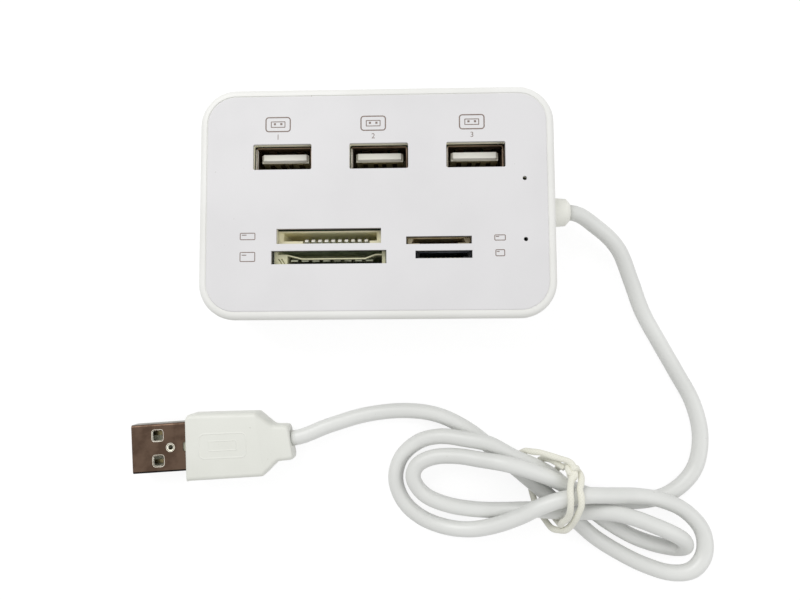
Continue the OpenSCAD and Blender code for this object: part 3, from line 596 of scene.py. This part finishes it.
def brushed_metal_group():
    """Rolled sheet: streaks drawn out along one axis and dull handling marks."""
    group, source, sink = new_group("brushed_metal", (
        ("Vector", VECTOR), ("Bright", COLOUR), ("Dull", COLOUR), ("Stretch", VECTOR),
        ("Shine", NUMBER)))
    given = source.outputs
    drawn = put(group, "ShaderNodeVectorMath", {0: given["Vector"], 1: given["Stretch"]},
                operation="MULTIPLY")
    streak = noise(group, drawn.outputs[0], 1.0, 4.0)
    marks = span(group, noise(group, given["Vector"], 260.0, 3.0), 0.4, 0.68)
    tone = math_node(group, "ADD", math_node(group, "MULTIPLY", streak, 0.35), marks, clamp=True)
    rough = math_node(group, "ADD", given["Shine"], math_node(group, "MULTIPLY", tone, 0.22),
                      clamp=True)
    feed(group, mix_colours(group, tone, given["Bright"], given["Dull"]), sink.inputs["Colour"])
    feed(group, rough, sink.inputs["Roughness"])
    feed(group, streak, sink.inputs["Height"])
    return group


SKIN = moulded_skin_group()
SHEET = brushed_metal_group()


def new_material(name, strength, distance=0.00002, **constants):
    """A Principled material with its constants on the shader's own sockets, and a Bump node.
    Returns the material, its tree, the shader, the Bump node and the place in the object."""
    material = bpy.data.materials.new(name)
    material.use_nodes = True
    tree = material.node_tree
    tree.nodes.clear()
    shader = put(tree, "ShaderNodeBsdfPrincipled",
                 {label.replace("_", " "): value for label, value in constants.items()})
    put(tree, "ShaderNodeOutputMaterial", {"Surface": shader.outputs[0]})
    bump = put(tree, "ShaderNodeBump", {"Strength": strength, "Distance": distance})
    feed(tree, bump.outputs[0], shader.inputs["Normal"])
    return material, tree, shader, bump, put(tree, "ShaderNodeTexCoord").outputs["Object"]


def connect(tree, shader, bump, colour, roughness, height):
    """Feeds what changes over a material's surface."""
    feed(tree, colour, shader.inputs["Base Color"])
    feed(tree, roughness, shader.inputs["Roughness"])
    feed(tree, height, bump.inputs["Height"])


# Where the openings' painted light and shade start and end: surface directions, then places.
TO_THE_FRONT = (-0.4, -0.7)
TO_THE_RIGHT = (0.4, 0.7)
AT_UPRIGHT_SOCKETS = (2 * MM, 4 * MM)
FROM_UPPER_SLOTS_ON = (-10.2 * MM, -9.8 * MM)
PANEL_EDGE_X = (36 * MM, 36.5 * MM)
PANEL_EDGE_Y = (22.5 * MM, 23 * MM)


def object_normal(tree):
    """The x, y and z of the surface's direction in the object."""
    return axes_of(tree, put(tree, "ShaderNodeTexCoord").outputs["Normal"])


def worn_openings(tree, place, colour, foot, brow, below, painted_lit_walls=None):
    """Painted shade in the openings: the colour below, up to the height of the foot, goes
    over into the piece's own at the brow. Where the colour of the lit walls is given, it is
    painted light on the walls that face the front at the upright sockets, and on those that
    face right there and at the upper card slots; the panel's outer edge keeps the piece's own."""
    x, y, z = axes_of(tree, place)
    if painted_lit_walls is not None:
        # Painted light: walls facing the front at the upright sockets, or facing right, get the lit
        # colour.
        turned_x, turned_y, _ = object_normal(tree)
        front = math_node(tree, "MULTIPLY", span(tree, turned_y, *TO_THE_FRONT),
                          span(tree, y, *AT_UPRIGHT_SOCKETS))
        right = math_node(tree, "MULTIPLY", span(tree, turned_x, *TO_THE_RIGHT),
                          span(tree, y, *FROM_UPPER_SLOTS_ON))
        below = mix_colours(tree, math_node(tree, "MAXIMUM", front, right), below, painted_lit_walls)
        edge = math_node(tree, "MAXIMUM",
                         span(tree, math_node(tree, "ABSOLUTE", x), *PANEL_EDGE_X),
                         span(tree, math_node(tree, "ABSOLUTE", y), *PANEL_EDGE_Y))
        below = mix_colours(tree, edge, below, colour)
    # Painted shade: the colour below, low in the openings, gives way to the piece's own at the
    # brow.
    return mix_colours(tree, span(tree, z, foot * MM, brow * MM), below, colour)


def moulded(name, tone, cloud, speck, grain, shine, height, openings=()):
    """Moulded plastic: its tone, the tone of its clouds and specks as screen colours, the
    number of grains in a metre, its roughness, the strength of its grain and its openings, as
    foot, brow and screen colours of their painted shade and painted light."""
    material, tree, shader, bump, place = new_material(name, height)
    skin = put(tree, "ShaderNodeGroup", node_tree=SKIN)
    for label, value in (("Vector", place), ("Tone", linear(*tone)), ("Cloud", linear(*cloud)),
                         ("Speck", linear(*speck)), ("Grain", grain), ("Shine", shine)):
        feed(tree, value, skin.inputs[label])
    colour = skin.outputs["Colour"]
    if openings:
        foot, brow, *colours = openings
        colour = worn_openings(tree, place, colour, foot, brow, *(linear(*c) for c in colours))
    connect(tree, shader, bump, colour, skin.outputs["Roughness"], skin.outputs["Height"])
    return material


def metal(name, bright, dull, stretch, shine, metallic=1.0, grazing_reflection=None, bend_shade=None):
    """Sheet metal: its bright and dull screen colours, the streaks' number in a metre along x,
    y and z, and its roughness. A painted reflection turns it to a given colour where it is seen
    from the side, and a painted shade to a given colour round its lower long curve."""
    material, tree, shader, bump, place = new_material(name, 0.2, 0.00001, Metallic=metallic)
    sheet = put(tree, "ShaderNodeGroup", node_tree=SHEET)
    for label, value in (("Vector", place), ("Bright", linear(*bright)), ("Dull", linear(*dull)),
                         ("Stretch", stretch), ("Shine", shine)):
        feed(tree, value, sheet.inputs[label])
    colour = sheet.outputs["Colour"]
    # Painted reflection: paler where the sheet is seen edge-on.
    if grazing_reflection is not None:
        facing = put(tree, "ShaderNodeLayerWeight", {"Blend": 0.5}).outputs["Facing"]
        colour = mix_colours(tree, span(tree, facing, 0.45, 0.85), colour, linear(*grazing_reflection))
    # Painted shade: dark where the sheet turns to the front and up, round its lower bend.
    if bend_shade is not None:
        _, turned_y, turned_z = object_normal(tree)
        rounded = math_node(tree, "MULTIPLY", span(tree, turned_y, -0.1, -0.3),
                            span(tree, turned_z, 0.2, 0.4))
        colour = mix_colours(tree, rounded, colour, linear(*bend_shade))
    connect(tree, shader, bump, colour, sheet.outputs["Roughness"], sheet.outputs["Height"])
    return material


def braided_elastic():
    """Braided elastic: two sets of slanted ribs, sin of u and v added and subtracted, where u
    goes round the strand and v runs along it in metres."""
    ribs_round, rib_pitch = 6, 0.0007
    material, tree, shader, bump, place = new_material("braided_elastic", 0.1, Sheen_Weight=0.3,
                                                       Sheen_Roughness=0.5)
    u, v, _ = axes_of(tree, put(tree, "ShaderNodeUVMap", uv_map="along").outputs[0])
    turn = math_node(tree, "MULTIPLY", u, 2 * math.pi * ribs_round)
    run = math_node(tree, "MULTIPLY", v, 2 * math.pi / rib_pitch)
    left = math_node(tree, "SINE", math_node(tree, "ADD", turn, run))
    right = math_node(tree, "SINE", math_node(tree, "SUBTRACT", turn, run))
    ribs = math_node(tree, "MAXIMUM", left, right)
    fuzz = noise(tree, place, 700.0, 4.0)
    shade = span(tree, math_node(tree, "ADD", ribs, fuzz), 0.1, 1.5)
    colour = mix_colours(tree, shade, linear(229, 228, 215), linear(237, 236, 224))
    connect(tree, shader, bump, colour, span(tree, fuzz, 0.2, 0.8, 0.75, 0.95), ribs)
    return material


def circuit_board():
    """Lacquered board: copper runs under the green show as slightly lighter straight bands."""
    material, tree, shader, bump, place = new_material("green_board", 0.5, 0.00004,
                                                       Coat_Weight=0.6)
    tracks = put(tree, "ShaderNodeTexBrick", {
        "Vector": place, "Scale": 220.0, "Color1": linear(26, 98, 62),
        "Color2": linear(18, 84, 50), "Mortar": linear(40, 122, 78), "Mortar Size": 0.08,
        "Brick Width": 1.6, "Row Height": 0.35}, offset=0.5, squash=1.0)
    grain = noise(tree, place, 1800.0, 3.0)
    colour = mix_colours(tree, span(tree, grain, 0.3, 0.9), tracks.outputs["Color"],
                         linear(14, 70, 44))
    rough = span(tree, grain, 0.2, 0.8, 0.25, 0.45)
    connect(tree, shader, bump, colour, rough, tracks.outputs["Fac"])
    return material


def patchy(name, first, second, mixed, rough, scale, detail, strength, distance=0.00002,
           **constants):
    """A material whose colour goes from the first to the second with one noise, over the range
    mixed, and whose roughness goes through the range rough."""
    material, tree, shader, bump, place = new_material(name, strength, distance, **constants)
    patch = noise(tree, place, scale, detail)
    colour = mix_colours(tree, span(tree, patch, *mixed), linear(*first), linear(*second))
    connect(tree, shader, bump, colour, span(tree, patch, 0.2, 0.8, *rough), patch)
    return material


# Streaks in a metre along x, y and z.
UPRIGHT = (5200.0, 5200.0, 500.0)
LENGTHWISE = (500.0, 5200.0, 5200.0)
EVEN = (2500.0, 2500.0, 2500.0)
ROUND_THE_CAN = (2500.0, 2500.0, 700.0)

# Slot: name, tone, clouds, specks, grains in a metre, roughness, grain strength, openings.
# Openings: foot and brow heights, the painted shade colour and the painted light colour.
PLASTICS = {
    "housing": ("housing_plastic", (236, 236, 233), (231, 231, 227), (196, 194, 186),
                2400.0, 0.42, 0.22),
    # Face openings: painted shade low in the walls, painted light on walls facing front or right.
    "face": ("face_plastic", (223, 222, 223), (219, 218, 219), (192, 190, 187),
             3000.0, 0.5, 0.18, (18.8, 19.7, (70, 66, 60), (255, 252, 224))),
    "overmould": ("soft_overmould", (228, 229, 222), (222, 223, 215), (198, 197, 186),
                  1900.0, 0.5, 0.3),
    "cable": ("lead_vinyl", (226, 227, 224), (218, 219, 216), (186, 184, 180),
              1500.0, 0.36, 0.12),
    # Tongues: olive painted shade on their lower part.
    "insulator": ("white_insulator", (246, 245, 236), (240, 238, 226), (190, 182, 156),
                  3000.0, 0.4, 0.2, (15.4, 16.6, (176, 172, 132))),
    "card_insulator": ("cream_insulator", (248, 242, 206), (232, 224, 182), (140, 130, 98),
                       3000.0, 0.45, 0.2),
    "tan_insulator": ("tan_insulator", (206, 194, 162), (188, 172, 138), (110, 98, 74),
                      3000.0, 0.45, 0.2),
    "dark_insulator": ("black_insulator", (34, 32, 32), (26, 25, 26), (60, 57, 54),
                       3000.0, 0.5, 0.2),
    "chip": ("chip_epoxy", (30, 30, 32), (38, 37, 38), (64, 62, 60), 2600.0, 0.6, 0.3),
    "capacitor": ("capacitor_sleeve", (44, 46, 60), (36, 38, 52), (86, 88, 96),
                  1400.0, 0.35, 0.1),
}
# Slot: name, bright, dull, streaks, roughness, and how metallic it is if not wholly.
METALS = {
    "shell": ("plated_sheet", (140, 122, 104), (104, 88, 74), UPRIGHT, 0.3),
    "card_sheet": ("dull_sheet", (234, 244, 228), (198, 212, 190), LENGTHWISE, 0.5, 0.1),
    "tan_sheet": ("tarnished_sheet", (232, 212, 172), (198, 176, 132), LENGTHWISE, 0.45, 0.3),
    # The microSD cover is darkened as painted shade.
    "dark_sheet": ("sheet_painted_shade", (104, 108, 116), (72, 76, 84), LENGTHWISE, 0.4, 0.5),
    "tinned": ("tinned_spring", (236, 234, 222), (206, 202, 184), UPRIGHT, 0.4),
    # Gilt springs: dark olive, the look of gold in shade, as painted shade.
    "contact": ("gilt_spring_painted_shade", (132, 122, 90), (104, 94, 66), UPRIGHT, 0.3),
    "can": ("drawn_can", (206, 206, 202), (184, 183, 178), ROUND_THE_CAN, 0.22),
    "screw": ("screw_steel", (190, 190, 190), (150, 148, 146), EVEN, 0.3),
}
FINISH = {slot: moulded(*row) for slot, row in PLASTICS.items()}
FINISH.update((slot, metal(*row)) for slot, row in METALS.items())
FINISH["elastic"] = braided_elastic()
FINISH["board"] = circuit_board()
FINISH["lamp"] = patchy("lamp_resin", (58, 70, 57), (84, 96, 82), (0.3, 0.7), (0.15, 0.3),
                        700.0, 2.0, 0.1, Coat_Weight=0.5)
OWN_FINISH = {
    # Plug sheet: paler at the sides as a painted reflection, near-black painted shade at its bend.
    "plug_shell": metal("plug_steel", (102, 84, 71), (82, 66, 55), LENGTHWISE, 0.3,
                        grazing_reflection=(140, 138, 131), bend_shade=(18, 15, 14)),
    # Painted light: paler than the grip's plastic, so that the relief's cone looks as lit as the
    # grip.
    "strain_relief": moulded("relief_vinyl_painted_light", (246, 246, 240), (240, 240, 232), (210, 208, 198),
                             1900.0, 0.5, 0.3),
    "card_socket": moulded("olive_insulator", (236, 234, 196), (216, 213, 172), (110, 104, 78),
                           3000.0, 0.45, 0.2),
    "card_contacts": metal("dull_spring", (176, 178, 156), (142, 144, 122), UPRIGHT, 0.4, 0.6),
    "plug_insulator": moulded("plug_insulator", (190, 190, 170), (176, 176, 154),
                              (120, 118, 100), 3000.0, 0.4, 0.2),
}
# Painted highlight: steel far paler than the plug's own sheet, for its rolled edges.
PAINTED_HIGHLIGHT_EDGE = metal("painted_highlight_edge", (250, 248, 236), (232, 229, 214), EVEN, 0.3)
# White tin for the card springs; on the socket shells' strips it is a painted highlight.
TIN_AND_PAINTED_HIGHLIGHT = metal("white_tin_and_painted_highlight", (250, 248, 240), (238, 234, 220), UPRIGHT, 0.45, 0.1)
INK = patchy("printed_ink", (122, 106, 98), (160, 146, 138), (0.45, 0.8), (0.35, 0.55),
             2200.0, 3.0, 0.3, 0.00001)


# ---------------------------------------------------------------- finish, body and slot

def dress(piece, material):
    """Puts one material on a whole piece."""
    piece.data.materials.clear()
    piece.data.materials.append(material)


def add_piece(piece, material, stands_for=None):
    """Dresses a new piece, rides it on the one body, and hides the node that it replaces if
    there is one."""
    dress(piece, material)
    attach(piece, "root")
    if stands_for is not None:
        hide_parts(stands_for)


slot_of = {part["node"]: part["material_slot"] for part in frame["record"]["subparts"]}
for name, node in nodes.items():
    dress(node, OWN_FINISH.get(name, FINISH[slot_of[name]]))

add_piece(cable, FINISH["cable"], "cable")
add_piece(elastic, FINISH["elastic"], "cord_tie")
add_piece(knot, FINISH["elastic"], "cord_tie")
add_piece(grip, FINISH["overmould"], "plug_overmould")
add_piece(raised, FINISH["overmould"], "plug_overmould")
add_piece(rims, PAINTED_HIGHLIGHT_EDGE)
add_piece(edges, TIN_AND_PAINTED_HIGHLIGHT)
add_piece(lip, FINISH["housing"])
add_piece(springs, TIN_AND_PAINTED_HIGHLIGHT, "stick_contacts")
for mark in printing:
    add_piece(mark, INK)


# ---------------------------------------------------------------- light and floor

WHITE = (1, 1, 1, 1)
FLOOR_HALF = 1.5
LAMPS_AIM = np.array([0.01, -0.03, 0])


def seen_directly(tree):
    """1 for rays from the camera, from gloss and through glass, 0 for the rest."""
    path = put(tree, "ShaderNodeLightPath").outputs
    both = math_node(tree, "MAXIMUM", path["Is Camera Ray"], path["Is Glossy Ray"])
    return math_node(tree, "MAXIMUM", both, path["Is Transmission Ray"])


def by_ray(tree, output, indirect, direct):
    """Ends a tree in its output: one shader for indirect rays, another for direct ones."""
    pick = put(tree, "ShaderNodeMixShader", {0: seen_directly(tree), 1: indirect, 2: direct})
    put(tree, output, {"Surface": pick.outputs[0]})


def white_floor():
    """Pale floor: white where it is looked at, apart from the object's soft shadow."""
    points = np.array([[-1, -1, 0], [1, -1, 0], [1, 1, 0], [-1, 1, 0]], float) * FLOOR_HALF
    floor = mesh_piece("floor", points, [[0, 1, 2, 3]], smooth=False)
    material = bpy.data.materials.new("floor_white")
    material.use_nodes = True
    tree = material.node_tree
    tree.nodes.clear()
    glow = put(tree, "ShaderNodeEmission", {"Color": WHITE, "Strength": 0.86}).outputs[0]
    plain = put(tree, "ShaderNodeBsdfDiffuse", {"Color": (0.6, 0.6, 0.6, 1)}).outputs[0]
    faint = put(tree, "ShaderNodeBsdfDiffuse", {"Color": (0.2, 0.2, 0.2, 1)}).outputs[0]
    both = put(tree, "ShaderNodeAddShader", {0: glow, 1: faint}).outputs[0]
    by_ray(tree, "ShaderNodeOutputMaterial", plain, both)
    dress(floor, material)


def soft_world():
    """White where it is seen, and a gentler even fill as a light."""
    world = bpy.data.worlds.new("studio")
    scene.world = world
    world.use_nodes = True
    tree = world.node_tree
    tree.nodes.clear()
    fill = put(tree, "ShaderNodeBackground", {"Color": WHITE, "Strength": 0.62}).outputs[0]
    seen = put(tree, "ShaderNodeBackground", {"Color": WHITE, "Strength": 1.0}).outputs[0]
    by_ray(tree, "ShaderNodeOutputWorld", fill, seen)


def soft_lamp(name, place, size, power):
    """Square area lamp that looks at the middle of the object."""
    data = bpy.data.lights.new(name, "AREA")
    data.shape = "SQUARE"
    data.size = size
    data.energy = power
    lamp = bpy.data.objects.new(name, data)
    back = np.array(place, float) - LAMPS_AIM
    back /= np.linalg.norm(back)
    side = np.cross((0, 1, 0.01), back)
    side /= np.linalg.norm(side)
    lamp.matrix_world = axes_matrix(side, np.cross(back, side), back, place)
    scene.collection.objects.link(lamp)


white_floor()
soft_world()
soft_lamp("key_softbox", (-0.35, 0.45, 0.6), size=0.5, power=3.0)
soft_lamp("fill_softbox", (0.6, -0.1, 0.5), size=0.6, power=1.2)

scene.view_settings.view_transform = "Standard"
